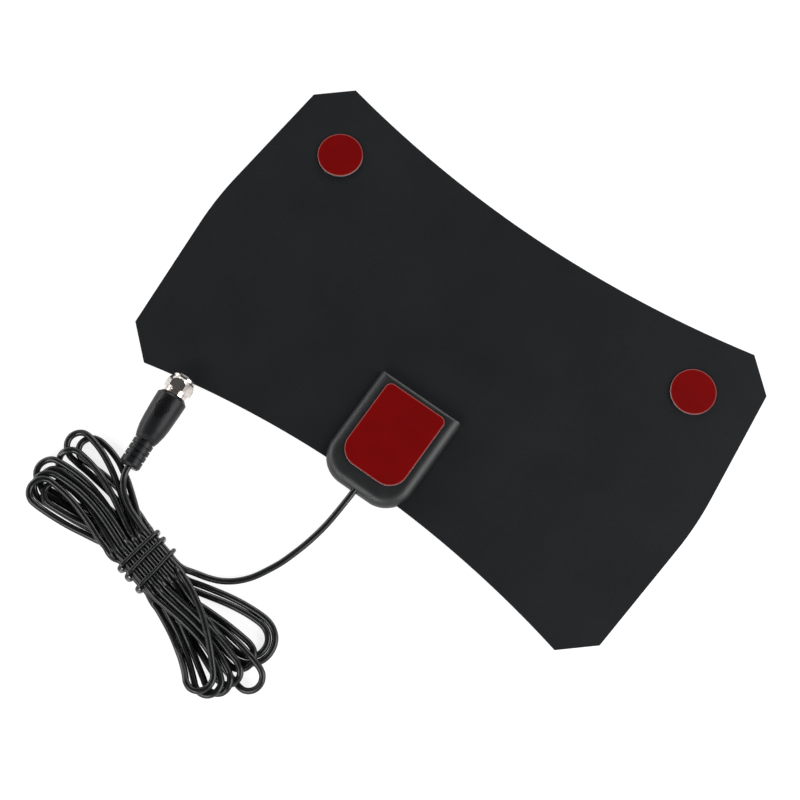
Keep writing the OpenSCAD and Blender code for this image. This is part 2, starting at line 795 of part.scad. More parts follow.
front_film();
back_film();
mirror([1, 0, 0]) foil_half();  // foil_left
foil_half();  // foil_right
front_cover();
back_cover();
circuit_board();
balun_core();
balun_winding();
mirror([1, 0, 0]) eyelet();  // eyelet_left
eyelet();  // eyelet_right
mirror([1, 0, 0]) round_tape();  // tape_left
round_tape();  // tape_right
tape_case();
mirror([1, 0, 0]) round_liner();  // liner_left
round_liner();  // liner_right
liner_case();
lead();
lead_dielectric();
lead_braid();
lead_conductor();
lead_hank();
lead_tail();
cord_tie();
plug_boot();
plug_body();
plug_insulator();
plug_pin();
plug_nut();
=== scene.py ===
"""Looks of a flat indoor television antenna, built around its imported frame.

The antenna lies face down on a white floor. The rigid pieces are the frame's own and get
their finishes here, but for the back cover, whose roof is cut to its rolled form; the lead
with its hank and the tie wire are built strand by strand.
"""

import logging
import math
from dataclasses import dataclass, field
from enum import Enum
from typing import Sequence, Union

import bpy
import numpy as np
from mathutils import Matrix, Vector


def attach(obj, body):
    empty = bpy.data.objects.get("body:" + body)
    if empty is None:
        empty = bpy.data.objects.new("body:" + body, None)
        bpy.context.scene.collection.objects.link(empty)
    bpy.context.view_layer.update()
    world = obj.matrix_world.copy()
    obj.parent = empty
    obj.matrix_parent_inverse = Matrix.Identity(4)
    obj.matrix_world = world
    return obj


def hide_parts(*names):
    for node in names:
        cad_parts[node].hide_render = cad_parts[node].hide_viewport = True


MM = 0.001
MM_PER_METRE = 1000.0
TINY = 1e-6
LEAST_WEIGHT = 1e-3
PARALLEL = 1e-4
PLASTIC_IOR = 1.5
HALVES = (0.3, 0.7)
PATCHES = (0.45, 0.8)
MIX_SHARE, MIX_FIRST, MIX_SECOND, MIX_RESULT = 0, 6, 7, 2
END_CROWN = 0.3
BEZIER_POINTS = 14
LOG = logging.getLogger("antenna")

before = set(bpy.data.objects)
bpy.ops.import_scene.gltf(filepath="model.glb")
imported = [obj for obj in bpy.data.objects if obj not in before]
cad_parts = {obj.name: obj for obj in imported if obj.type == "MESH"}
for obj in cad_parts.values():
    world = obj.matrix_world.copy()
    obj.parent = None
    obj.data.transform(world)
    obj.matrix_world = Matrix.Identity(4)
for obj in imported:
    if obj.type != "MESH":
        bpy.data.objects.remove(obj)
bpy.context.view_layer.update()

Colour = tuple[float, float, float]
Point = tuple[float, float, float]
Pair = tuple[float, float]
Operand = Union["Sock", float]


# Shader graphs


class Sock:
    """A number-valued shader output that takes part in Python arithmetic."""

    def __init__(self, graph: "Graph", out: bpy.types.NodeSocket) -> None:
        """Wraps one output socket of a graph."""
        self.graph = graph
        self.out = out

    def _math(self, operation: str, *values: Operand) -> "Sock":
        """Adds one Math node and returns its result."""
        return self.graph.node("Math", {"operation": operation}, dict(enumerate(values)))

    def __add__(self, other: Operand) -> "Sock":
        """Sum."""
        return self._math("ADD", self, other)

    def __sub__(self, other: Operand) -> "Sock":
        """Difference."""
        return self._math("SUBTRACT", self, other)

    def __mul__(self, other: Operand) -> "Sock":
        """Product."""
        return self._math("MULTIPLY", self, other)

    def __rsub__(self, other: Operand) -> "Sock":
        """Difference with this value on the right."""
        return self._math("SUBTRACT", other, self)

    __radd__ = __add__
    __rmul__ = __mul__

    def step(self, low: float, high: float) -> "Sock":
        """Smooth step from 0 at low to 1 at high.

        Args:
            low: value at which the result leaves 0.
            high: value at which the result reaches 1.

        Returns:
            The stepped value.
        """
        settings = {"interpolation_type": "SMOOTHSTEP"}
        inputs = {"Value": self, "From Min": low, "From Max": high}
        return self.graph.node("MapRange", settings, inputs)

    def power(self, exponent: float) -> "Sock":
        """The value raised to a power."""
        return self._math("POWER", self, exponent)

    def size(self) -> "Sock":
        """Absolute value."""
        return self._math("ABSOLUTE", self)

    def most(self, other: Operand) -> "Sock":
        """The larger of the two."""
        return self._math("MAXIMUM", self, other)

    def least(self, other: Operand) -> "Sock":
        """The smaller of the two."""
        return self._math("MINIMUM", self, other)


class Graph:
    """One material's node tree, with a Principled shader at its end."""

    def __init__(self, name: str) -> None:
        """Starts an empty material.

        Args:
            name: the material's name.
        """
        self.material = bpy.data.materials.new(name)
        self.material.use_nodes = True
        self.tree = self.material.node_tree
        self.tree.nodes.clear()
        self.output = self.tree.nodes.new("ShaderNodeOutputMaterial")

    def node(
        self,
        kind: str,
        settings: dict[str, object] | None = None,
        inputs: dict[Union[int, str], object] | None = None,
        result: Union[int, str] = 0,
    ) -> Sock:
        """Adds a node, sets it up, then feeds its sockets.

        Args:
            kind: the node type without its ShaderNode prefix.
            settings: the node's own properties.
            inputs: a value or a Sock for each input.
            result: which output to return.

        Returns:
            The chosen output.
        """
        node = self.tree.nodes.new("ShaderNode" + kind)
        for key, value in (settings or {}).items():
            setattr(node, key, value)
        for key, value in (inputs or {}).items():
            if isinstance(value, Sock):
                self.tree.links.new(value.out, node.inputs[key])
            elif isinstance(value, tuple) and len(value) == 3 and node.inputs[key].type == "RGBA":
                node.inputs[key].default_value = (*value, 1.0)
            else:
                node.inputs[key].default_value = value
        return Sock(self, node.outputs[result])

    def place(self) -> Sock:
        """Object coordinates."""
        return self.node("TexCoord", result="Object")

    def axis(self, name: str) -> Sock:
        """One object coordinate in metres, X, Y or Z."""
        return self.node("SeparateXYZ", inputs={0: self.place()}, result=name)

    def noise(
        self, scale: float, detail: float = 4.0, roughness: float = 0.5, at: Sock | None = None
    ) -> Sock:
        """Fractal noise from 0 to 1.

        Args:
            scale: features per metre.
            detail: number of octaves.
            roughness: weight of the finer octaves.
            at: where it is read, object coordinates if left out.

        Returns:
            The noise value.
        """
        inputs = {"Vector": at or self.place(), "Scale": scale}
        inputs.update({"Detail": detail, "Roughness": roughness})
        return self.node("TexNoise", None, inputs, "Fac")

    def cells(self, scale: float) -> Sock:
        """Distance to the nearest middle in a pattern of so many cells per metre."""
        inputs = {"Vector": self.place(), "Scale": scale}
        return self.node("TexVoronoi", None, inputs, "Distance")

    def stretched(self, scale: Point, turn_z: float = 0.0) -> Sock:
        """Object coordinates stretched along each axis and turned about Z.

        Args:
            scale: the factor along each axis.
            turn_z: the turn in radians.

        Returns:
            The coordinates.
        """
        inputs = {"Vector": self.place(), "Scale": Vector(scale)}
        inputs["Rotation"] = Vector((0.0, 0.0, turn_z))
        return self.node("Mapping", None, inputs)

    def mix(self, share: Operand, first: Union[Colour, Sock], second: Union[Colour, Sock]) -> Sock:
        """Blend of two colours.

        Args:
            share: how much of the second colour.
            first: the first colour.
            second: the second colour.

        Returns:
            The blend.
        """
        settings = {"data_type": "RGBA"}
        inputs = {MIX_SHARE: share, MIX_FIRST: first, MIX_SECOND: second}
        return self.node("Mix", settings, inputs, MIX_RESULT)

    def bump(self, height: Sock, depth: float) -> Sock:
        """Normal of a relief from 0 to 1 that is so many metres deep."""
        return self.node("Bump", None, {"Height": height, "Distance": depth, "Strength": 1.0})

    def finish(self, inputs: dict[str, object]) -> bpy.types.Material:
        """Closes the graph with the Principled shader.

        Args:
            inputs: a constant or a Sock for each of its sockets.

        Returns:
            The finished material.
        """
        shader = self.node("BsdfPrincipled", None, inputs)
        self.tree.links.new(shader.out, self.output.inputs["Surface"])
        return self.material


# Finishes


@dataclass(frozen=True)
class Film:
    """Satin black polyester film: a fine even tooth and a soft unevenness of its gloss."""

    dark: Colour = (0.0066, 0.0074, 0.0086)
    light: Colour = (0.0112, 0.0122, 0.0140)
    cloud: float = 30.0
    mottle: float = 1500.0
    mottle_share: float = 0.7
    tooth: float = 5200.0
    depth: float = 0.00001
    rough: float = 0.42
    cloud_rough: float = 0.08
    tooth_rough: float = 0.05
    specular: float = 0.2

    def material(self) -> bpy.types.Material:
        """Builds the material.

        Returns:
            The material.
        """
        g = Graph("film")
        cloud = g.noise(self.cloud, 3.0)
        tooth = g.noise(self.tooth, 2.0, 0.6)
        mottle = g.noise(self.mottle, 2.0, 0.6)
        share = mottle.step(*HALVES) * self.mottle_share
        share = share + cloud.step(*HALVES) * (1 - self.mottle_share)
        return g.finish({
            "Base Color": g.mix(share, self.dark, self.light),
            "Roughness": self.rough + cloud * self.cloud_rough + tooth * self.tooth_rough,
            "IOR": PLASTIC_IOR,
            "Specular IOR Level": self.specular,
            "Normal": g.bump(tooth, self.depth),
        })


@dataclass(frozen=True)
class Moulded:
    """Spark-eroded moulded plastic: fine grain, a little paler where it is worn."""

    name: str = "housing"
    base: Colour = (0.0064, 0.0071, 0.0077)
    worn: Colour = (0.0100, 0.0109, 0.0117)
    grain: float = 3000.0
    depth: float = 0.000012
    rough: float = 0.40
    cloud_rough: float = 0.08
    grain_rough: float = 0.06
    specular: float = 0.5
    cloud: float = 120.0

    def material(self) -> bpy.types.Material:
        """Builds the material.

        Returns:
            The material.
        """
        g = Graph(self.name)
        grain = g.cells(self.grain)
        cloud = g.noise(self.cloud)
        return g.finish({
            "Base Color": g.mix(cloud.step(*PATCHES), self.base, self.worn),
            "Roughness": self.rough + cloud * self.cloud_rough + grain * self.grain_rough,
            "IOR": PLASTIC_IOR,
            "Specular IOR Level": self.specular,
            "Normal": g.bump(grain, self.depth),
        })


@dataclass(frozen=True)
class Jacket:
    """Extruded cord jacket: drawing lines along the cord and a fine haze."""

    name: str = "jacket"
    base: Colour = (0.0060, 0.0064, 0.0070)
    haze: Colour = (0.0120, 0.0125, 0.0134)
    line_scale: Point = (40.0, 60.0, 1.0)
    patch_scale: Point = (3.0, 320.0, 1.0)
    patches: Pair = (0.45, 0.75)
    depth: float = 0.000008
    rough: float = 0.20
    patch_rough: float = 0.05
    line_rough: float = 0.04
    specular: float = 0.38

    def material(self) -> bpy.types.Material:
        """Builds the material; U runs round the cord and V along it in metres.

        Returns:
            The material.
        """
        g = Graph(self.name)
        chart = g.node("UVMap", {"uv_map": "run"})
        along, spread = (
            g.node("Mapping", None, {"Vector": chart, "Scale": Vector(scale)})
            for scale in (self.line_scale, self.patch_scale)
        )
        lines = g.noise(1.0, 3.0, 0.6, along)
        patch = g.noise(1.0, 4.0, 0.6, spread)
        return g.finish({
            "Base Color": g.mix(patch.step(*self.patches), self.base, self.haze),
            "Roughness": self.rough + patch * self.patch_rough + lines * self.line_rough,
            "IOR": PLASTIC_IOR,
            "Specular IOR Level": self.specular,
            "Normal": g.bump(lines, self.depth),
        })


@dataclass(frozen=True)
class Liner:
    """Red release liner: smooth siliconed film, slightly clouded, with a painted highlight along
    its cut edge for light caught by the edge, over the edge's own paler translucent adhesive.
    """

    base: Colour = (0.190, 0.0013, 0.0013)
    deep: Colour = (0.150, 0.0012, 0.0013)
    # pale colour of the painted highlight along the cut edge, partly the edge's own paler adhesive
    edge_highlight: Colour = (0.330, 0.085, 0.080)
    edge_highlight_fade: Pair = (0.20, 0.45)
    edge_highlight_share: float = 0.6
    cloud: float = 90.0
    clouds: Pair = (0.3, 0.75)
    mottle: float = 1500.0
    flow_scale: Point = (60.0, 400.0, 60.0)
    flow_turn: float = 0.5
    flow_depth: float = 0.00003
    rough: float = 0.30
    flow_rough: float = 0.12
    specular: float = 0.14
    split: float = 0.1
    disc: Point = (93.3, 48.3, 10.0)
    panel_middle: float = -44.55
    panel_half: Pair = (14.9, 19.3)
    panel_corners: Pair = (8.5, 2.8)

    def edge(self, g: Graph) -> Sock:
        """Distance inside the cut edge in millimetres, of the round pads beyond y = 0 and of the
        D-shaped one before it.

        Args:
            g: the liner's graph.

        Returns:
            The distance, positive inside.
        """
        x, y = g.axis("X").size() * MM_PER_METRE, g.axis("Y") * MM_PER_METRE
        across, along, radius = self.disc
        disc = radius - length_of(x - across, y - along)
        corner = (y - self.panel_middle).step(-self.split, self.split)
        r = self.panel_corners[0] + corner * (self.panel_corners[1] - self.panel_corners[0])
        qx = x - self.panel_half[0] + r
        qy = (y - self.panel_middle).size() - self.panel_half[1] + r
        panel = r - length_of(qx.most(0.0), qy.most(0.0)) - qx.most(qy).least(0.0)
        far = y.step(-self.split, self.split)
        return far * disc + (1.0 - far) * panel

    def material(self) -> bpy.types.Material:
        """Builds the material.

        Returns:
            The material.
        """
        g = Graph("liner")
        cloud = g.noise(self.cloud, 3.0)
        mottle = g.noise(self.mottle, 2.0, 0.6)
        flow = g.noise(1.0, 3.0, 0.55, g.stretched(self.flow_scale, self.flow_turn))
        share = cloud.step(*self.clouds) * 0.5 + mottle.step(*HALVES) * 0.5
        # painted highlight: the colour turns pale within about half a millimetre of the cut edge,
        # for light caught by the edge as well as its own paler adhesive
        edge_highlight = 1.0 - self.edge(g).step(*self.edge_highlight_fade)
        edge_highlight_amount = edge_highlight * (self.edge_highlight_share + mottle * self.edge_highlight_share)
        colour = g.mix(share, self.base, self.deep)
        return g.finish({
            "Base Color": g.mix(edge_highlight_amount, colour, self.edge_highlight),
            "Roughness": self.rough + flow * self.flow_rough,
            "IOR": PLASTIC_IOR,
            "Specular IOR Level": self.specular,
            "Normal": g.bump(flow, self.flow_depth),
        })


def length_of(x: Sock, y: Sock) -> Sock:
    """Length of the vector (x, y)."""
    return (x * x + y * y).power(0.5)


@dataclass(frozen=True)
class Foam:
    """Closed-cell foam tape seen at its cut edge, the pits of its cells painted darker as shade."""

    base: Colour = (0.40, 0.33, 0.32)
    # darker colour painted into the pits of the cells as shade
    pit_shade: Colour = (0.20, 0.14, 0.14)
    cell: float = 5200.0
    pit_shade_range: Pair = (0.2, 0.7)
    depth: float = 0.00006
    rough: float = 0.9

    def material(self) -> bpy.types.Material:
        """Builds the material.

        Returns:
            The material.
        """
        g = Graph("foam")
        cell = g.cells(self.cell)
        return g.finish({
            # painted shade: the colour darkens towards the middle of each cell, where the bump
            # sinks into a pit
            "Base Color": g.mix(cell.step(*self.pit_shade_range), self.pit_shade, self.base),
            "Roughness": self.rough,
            "Normal": g.bump(cell, self.depth),
        })


@dataclass(frozen=True)
class Plated:
    """Bright plated or drawn metal: fine turning marks and faint handling haze."""

    name: str
    base: Colour
    dull: Colour
    rough: float = 0.16
    hazes: Pair = (0.4, 0.8)
    haze_rough: float = 0.12
    mark_rough: float = 0.05
    marks: float = 9000.0
    haze: float = 260.0
    depth: float = 0.000004

    def material(self) -> bpy.types.Material:
        """Builds the material.

        Returns:
            The material.
        """
        g = Graph(self.name)
        haze = g.noise(self.haze, 4.0, 0.6)
        fine = g.noise(self.marks, 2.0, 0.7)
        dulled = haze.step(*self.hazes) * self.haze_rough
        return g.finish({
            "Base Color": g.mix(haze.step(*PATCHES), self.base, self.dull),
            "Metallic": 1.0,
            "Roughness": self.rough + dulled + fine * self.mark_rough,
            "Normal": g.bump(fine, self.depth),
        })


@dataclass(frozen=True)
class Plain:
    """A hidden or small piece in one material with its own mottle."""

    name: str
    base: Colour
    second: Colour
    rough: float
    scale: float
    depth: float = 0.00002
    mottles: Pair = (0.35, 0.7)
    mottle_rough: float = 0.1

    def material(self) -> bpy.types.Material:
        """Builds the material.

        Returns:
            The material.
        """
        g = Graph(self.name)
        mottle = g.noise(self.scale, 4.0, 0.6)
        return g.finish({
            "Base Color": g.mix(mottle.step(*self.mottles), self.base, self.second),
            "Roughness": self.rough + mottle * self.mottle_rough,
            "Normal": g.bump(mottle, self.depth),
        })


class Finish(Enum):
    """The record's material slots, each with its finish."""

    film = Film()
    housing = Moulded()
    boot = Moulded(
        "boot", (0.0060, 0.0064, 0.0076), (0.0095, 0.0100, 0.0115), 4200.0,
        rough=0.32, specular=0.22,
    )
    jacket = Jacket()
    tie_wire = Jacket("tie", (0.0065, 0.0068, 0.0074), (0.0140, 0.0145, 0.0155))
    liner = Liner()
    foam_tape = Foam()
    nickel = Plated("nickel", (0.70, 0.65, 0.61), (0.46, 0.39, 0.35), 0.09)
    brass = Plated("brass", (0.72, 0.52, 0.24), (0.55, 0.38, 0.17), 0.22)
    copper = Plated("copper", (0.80, 0.42, 0.27), (0.60, 0.30, 0.18), 0.24)
    foil = Plated("foil", (0.78, 0.79, 0.80), (0.66, 0.67, 0.68), 0.28)
    board = Plain("board", (0.020, 0.11, 0.045), (0.030, 0.15, 0.065), 0.42, 900.0)
    ferrite = Plain("ferrite", (0.030, 0.030, 0.034), (0.050, 0.050, 0.054), 0.55, 1800.0)
    dielectric = Plain("dielectric", (0.72, 0.72, 0.70), (0.62, 0.62, 0.60), 0.5, 700.0)

    def material(self) -> bpy.types.Material:
        """The finish's material, made once.

        Returns:
            The material.
        """
        made = _MADE.get(self.name)
        if made is None:
            made = _MADE[self.name] = self.value.material()
        return made


_MADE: dict[str, bpy.types.Material] = {}

NODE_FINISH: dict[Finish, tuple[str, ...]] = {
    Finish.film: ("front_film", "back_film"),
    Finish.foil: ("foil_left", "foil_right"),
    Finish.housing: ("front_cover",),
    Finish.board: ("circuit_board",),
    Finish.ferrite: ("balun_core",),
    Finish.copper: ("balun_winding", "lead_braid", "lead_conductor", "plug_pin"),
    Finish.brass: ("eyelet_left", "eyelet_right"),
    Finish.foam_tape: ("tape_left", "tape_right", "tape_case"),
    Finish.liner: ("liner_left", "liner_right", "liner_case"),
    Finish.dielectric: ("lead_dielectric", "plug_insulator"),
    Finish.boot: ("plug_boot",),
    Finish.nickel: ("plug_body", "plug_nut"),
}


def placed(name: str, data: bpy.types.ID) -> bpy.types.Object:
    """Makes an object of the scene, unturned at the origin.

    Args:
        name: its name.
        data: its mesh, light or camera.

    Returns:
        The object.
    """
    piece = bpy.data.objects.new(name, data)
    bpy.context.scene.collection.objects.link(piece)
    return piece


def dressed(piece: bpy.types.Object, finish: Finish, *replaced: str) -> bpy.types.Object:
    """Gives a new piece of the antenna its body, finish and slot.

    Args:
        piece: the piece.
        finish: its finish.
        replaced: the frame's nodes that it stands for.

    Returns:
        The piece.
    """
    piece.data.materials.clear()
    piece.data.materials.append(finish.material())
    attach(piece, "antenna")
    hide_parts(*replaced)
    return piece


def dress_nodes() -> None:
    """Gives each rigid piece of the frame its finish."""
    for finish, names in NODE_FINISH.items():
        for name in names:
            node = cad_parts[name]
            node.data.materials.clear()
            node.data.materials.append(finish.material())
            LOG.info("%s: %s", name, finish.name)


# The back cover


@dataclass(frozen=True)
class RolledRoof:
    """The back cover's outside, down to which the pin sockets and the saddle behind its rolled
    end are cut. Lengths in millimetres, as in the part."""

    half_width: float = 20.5
    outer_end: float = -72.35
    corner: float = 13.0
    roll: float = 4.3
    roof: float = 7.2
    slack: float = 0.03

    def height(self, x: np.ndarray, y: np.ndarray) -> np.ndarray:
        """Height of the roof over plan points: within one roll radius of the D-shaped outline,
        the roof falls by a quarter circle of that radius.

        Args:
            x: across the housing.
            y: along it.

        Returns:
            The heights.
        """
        qx = np.abs(x) - (self.half_width - self.corner)
        qy = self.outer_end + self.corner - y
        beyond = np.where((qx > 0) & (qy > 0), np.hypot(qx, qy), np.maximum(qx, qy))
        lean = np.clip(self.roll - (self.corner - beyond), 0.0, self.roll)
        return self.roof - self.roll + np.sqrt(np.maximum(self.roll**2 - lean**2, 0.0))

    def build(self) -> bpy.types.Object:
        """Builds the back cover anew, with what stands out of its roof brought down to it.

        Returns:
            The new back cover.
        """
        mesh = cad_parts["back_cover"].data.copy()
        co = np.empty(len(mesh.vertices) * 3, np.float32)
        mesh.vertices.foreach_get("co", co)
        co = co.reshape(-1, 3)
        top = self.height(co[:, 0] / MM, co[:, 1] / MM) * MM
        proud = co[:, 2] > top + self.slack * MM
        co[proud, 2] = top[proud]
        mesh.vertices.foreach_set("co", co.ravel())
        mesh.update()
        LOG.info("back cover: %d corners brought down to its roof", int(proud.sum()))
        return dressed(placed("housing_back", mesh), Finish.housing, "back_cover")


# Curves and tubes

def flowing(points: np.ndarray, between: int) -> np.ndarray:
    """Uniform Catmull-Rom curve: the cubic through each point whose slope there is half the
    step from the point before to the point after.

    Args:
        points: the points, one a row.
        between: how many pieces each step is cut into.

    Returns:
        The finer line.
    """
    ends = np.vstack([2 * points[0] - points[1], points, 2 * points[-1] - points[-2]])
    index = np.arange(len(points) - 1)
    t = np.linspace(0.0, 1.0, between, endpoint=False)[None, :, None]
    a, b, c, d = (ends[index + k][:, None] for k in range(4))
    square = (2 * a - 5 * b + 4 * c - d) * t**2
    cube = (3 * b - a - 3 * c + d) * t**3
    line = 0.5 * (2 * b + (c - a) * t + square + cube)
    return np.vstack([line.reshape(-1, points.shape[1]), points[-1:]])


def run_of(line: np.ndarray) -> np.ndarray:
    """Distance along a line at each of its points."""
    return np.concatenate([[0.0], np.cumsum(np.linalg.norm(np.diff(line, axis=0), axis=1))])


def evened(line: np.ndarray, step: float) -> tuple[np.ndarray, float]:
    """The line cut into equal steps.

    Args:
        line: the points of the line.
        step: the wanted step.

    Returns:
        The new points and the true step.
    """
    run = run_of(line)
    count = int(round(run[-1] / step))
    at = np.linspace(0.0, run[-1], count + 1)
    return np.column_stack([np.interp(at, run, line[:, k]) for k in range(3)]), run[-1] / count


def tube(
    name: str, line: np.ndarray, radius: float, sides: int, reference: Sequence[float]
) -> bpy.types.Object:
    """Tube of round section along a line: ring k is the point k plus the radius times the
    cosine and sine of the angle along two directions square to the run there.

    Args:
        name: the piece's name.
        line: the centreline in metres.
        radius: the tube's radius.
        sides: points in a ring.
        reference: a direction that the run is never along.

    Returns:
        The object, with a UV map "run": round the tube and along it in metres.
    """
    run = np.gradient(line, axis=0)
    run /= np.linalg.norm(run, axis=1)[:, None]
    side = np.cross(run, np.asarray(reference, float))
    side /= np.linalg.norm(side, axis=1)[:, None]
    up = np.cross(side, run)
    angle = (np.arange(sides) * (2 * math.pi / sides))[None, :, None]
    rings = line[:, None] + radius * (np.cos(angle) * side[:, None] + np.sin(angle) * up[:, None])
    count = len(line)
    crown = radius * END_CROWN
    tips = np.stack([line[0] - run[0] * crown, line[-1] + run[-1] * crown])
    verts = np.vstack([rings.reshape(-1, 3), tips])
    k, j = np.meshgrid(np.arange(count - 1), np.arange(sides), indexing="ij")
    after = (j + 1) % sides
    corners = [k * sides + j, k * sides + after, (k + 1) * sides + after, (k + 1) * sides + j]
    quads = np.stack(corners, -1).reshape(-1, 4)[:, ::-1]
    around = np.arange(sides)
    ahead = (around + 1) % sides
    last_ring = (count - 1) * sides
    first = np.stack([around, ahead, np.full(sides, count * sides)], -1)
    last = np.stack([last_ring + ahead, last_ring + around, np.full(sides, count * sides + 1)], -1)
    mesh = bpy.data.meshes.new(name)
    mesh.from_pydata(verts.tolist(), [], quads.tolist() + first.tolist() + last.tolist())
    length = run_of(line)
    corner_u = np.stack([j, j + 1, j + 1, j], -1).reshape(-1, 4)[:, ::-1] / sides
    corner_v = length[np.stack([k, k, k + 1, k + 1], -1).reshape(-1, 4)[:, ::-1]]
    uv = np.zeros((len(mesh.loops), 2), np.float32)
    uv[: corner_u.size] = np.stack([corner_u.ravel(), corner_v.ravel()], -1)
    mesh.uv_layers.new(name="run").data.foreach_set("uv", uv.ravel())
    mesh.polygons.foreach_set("use_smooth", np.ones(len(mesh.polygons), bool))
    mesh.validate()
    mesh.update()
    return placed(name, mesh)


# The lead


@dataclass
class Waist:
    """The tied middle of the hank: where it is, how it is turned, and the places of its strands."""

    middle: Pair = (-51.0, -145.95)
    angle: float = -13.0
    half_run: float = 9.5
    rows: dict[str, float] = field(
        default_factory=lambda: {"low": 3.15, "mid": 5.57, "top": 7.95}
    )
    places: tuple[tuple[float, str], ...] = (
        (8.4, "mid"), (5.6, "mid"), (4.2, "low"), (4.2, "top"), (2.8, "mid"), (1.4, "top"),
        (1.4, "low"), (0.0, "mid"), (-1.4, "low"), (-1.4, "top"), (-4.2, "low"), (-4.2, "top"),
        (-2.8, "mid"), (-7.0, "top"), (-5.6, "mid"), (-8.4, "mid"), (7.0, "top"),
    )

    def axes(self) -> tuple[np.ndarray, np.ndarray]:
        """Unit directions along the waist and across it, in plan."""
        a = math.radians(self.angle)
        return np.array([math.cos(a), math.sin(a)]), np.array([-math.sin(a), math.cos(a)])

    def point(self, along: float, across: float) -> np.ndarray:
        """Plan point of a place in the waist, in millimetres."""
        run, side = self.axes()
        return np.array(self.middle) + along * run + across * side


@dataclass(frozen=True)
class EndTurn:
    """One end turn of the hank: its centre, radius and heading in plan, and the way it turns."""

    x: float
    y: float
    radius: float
    heading: float
    left: bool


@dataclass
class Lead:
    """The whole lead in one line: out of the housing, over the floor, eight times round the
    hank and into the plug. Lengths in millimetres until the finished line is scaled. The
    heights of a loop are those of the first one and what each later one adds."""

    diameter: float = 2.8
    tightest: float = 5.3
    spacing: float = 2.9
    rounds: int = 400
    quick_rounds: int = 120
    repeats: int = 8
    thin_start: float = 0.25
    full_at: float = 0.55
    sides: int = 16
    laid_cuts: int = 6
    drawn_cuts: int = 4
    path_every: int = 2
    soft_over: int = 5
    waist_handle: float = 0.22
    turn_handle: float = 0.45
    under: Pair = (1.4, 0.25)
    over: Pair = (4.4, 0.5)
    tip: Pair = (1.4, 0.8)
    last_loop: Point = (3.0, 7.0, 9.5)
    slope_points: int = 5
    tie_slack: float = 0.4
    tie_reach: float = 9.0
    end_points: int = 60
    outlet: Point = (0.0, -72.35, 0.0)
    inside: tuple[Point, ...] = ((0, 11.35, 4.05), (0, 0, 4.05))
    free_route: tuple[Point, ...] = (
        (-0.2, -5.6, 3.8), (-0.6, -11.6, 3), (-1.2, -17.6, 2.1), (-2.2, -23.6, 1.5),
        (-3.5, -29.6, 1.4), (-5.2, -35.6, 1.4), (-7.2, -41.6, 1.4), (-10, -47.6, 1.4),
        (-13.4, -53.6, 1.4), (-17.8, -58.6, 1.5), (-22.8, -62.2, 1.8), (-28, -64.4, 2.4),
        (-33, -65.8, 3.2),
    )
    tail_route: tuple[Point, ...] = (
        (-69, -61.2, 6.8), (-73, -59.2, 7), (-76.6, -56.8, 7.1), (-79.2, -54.2, 7.1),
    )
    plug_tail: Point = (-82.29, -118.61, 6.85)
    plug_run: Point = (-0.087156, 0.996195, 0.0)
    boot_entry: tuple[Point, ...] = ((1.3, -5.2, 0.1), (0.4, -2.4, 0.0))
    into_boot: float = 23.4
    waist: Waist = field(default_factory=Waist)
    left_turns: tuple[EndTurn, ...] = (
        EndTurn(-99.8, -124.2, 5.7, 183, False), EndTurn(-106.2, -128.4, 5.8, 178, False),
        EndTurn(-102.5, -132.2, 5.8, 178, False), EndTurn(-107.6, -135.4, 5.8, 179, False),
        EndTurn(-103.6, -138.8, 5.7, 182, False), EndTurn(-104.2, -142.0, 5.6, 182, False),
        EndTurn(-98.6, -144.6, 5.3, 181, False), EndTurn(-103.4, -144.4, 5.5, 177, False),
    )
    right_turns: tuple[EndTurn, ...] = (
        EndTurn(-0.2, -151.8, 9.7, -8, True), EndTurn(-1.4, -152.9, 8.1, -10, True),
        EndTurn(1.2, -153.9, 6.0, -8, True), EndTurn(10.2, -162.6, 5.5, -18, True),
        EndTurn(1.8, -162.4, 5.4, -18, False), EndTurn(1.0, -164.8, 5.4, -28, False),
        EndTurn(-0.7, -166.0, 5.4, -36, False), EndTurn(-2.9, -166.9, 5.4, -44, True),
    )

    def head(self) -> np.ndarray:
        """Points from inside the housing to the hank."""
        return np.array(self.inside + self.free_route) + self.outlet

    def tail(self) -> np.ndarray:
        """Points from the hank into the boot.

        Returns:
            The points.
        """
        end = np.array(self.plug_tail)
        inner = end + self.into_boot * np.array(self.plug_run)
        last = [*(end + off for off in self.boot_entry), end, inner]
        return np.vstack([np.array(self.tail_route) + self.outlet, last])

    def lobe(
        self, go: int, turn: EndTurn, out_at: float, back_at: float, number: int
    ) -> np.ndarray:
        """One loop of the hank: a cubic Bezier from the waist to the end turn, the turn's half
        circle, and a cubic Bezier back.

        Args:
            go: 1 for the right end, -1 for the left.
            turn: the loop's end turn.
            out_at: place across the waist where the loop leaves it.
            back_at: place across the waist where it comes back.
            number: the loop's number, which sets its heights.

        Returns:
            The loop's points between its two places in the waist.
        """
        middle, r = np.array([turn.x, turn.y]), turn.radius
        a = math.radians(turn.heading)
        ahead = np.array([math.cos(a), math.sin(a)])
        aside = np.array([-ahead[1], ahead[0]]) * (1 if turn.left else -1)
        run = go * self.waist.axes()[0]
        start, end = (self.waist.point(go * self.waist.half_run, at) for at in (out_at, back_at))
        angle = np.radians(np.arange(20, 161, 20))[:, None]
        arc = middle + r * (np.sin(angle) * ahead - np.cos(angle) * aside)
        near, far = self.waist_handle, self.turn_handle
        out = bezier(start, run, middle - aside * r, ahead, near, far)[1:]
        back = bezier(middle + aside * r, -ahead, end, -run, far, near)[:-1]
        under, over, tip = (low + more * number for low, more in (self.under, self.over, self.tip))
        first, last = (under, over) if go < 0 else (over, under)
        if go > 0 and number == len(self.right_turns) - 1:
            first, tip, last = self.last_loop
        slope = self.slope_points
        level = len(out) - slope
        z = np.concatenate([
            np.full(level, first), np.linspace(first, tip, slope), np.full(len(arc), tip),
            np.linspace(tip, last, slope), np.full(level, last),
        ])
        return np.column_stack([np.vstack([out, arc, back]), z])

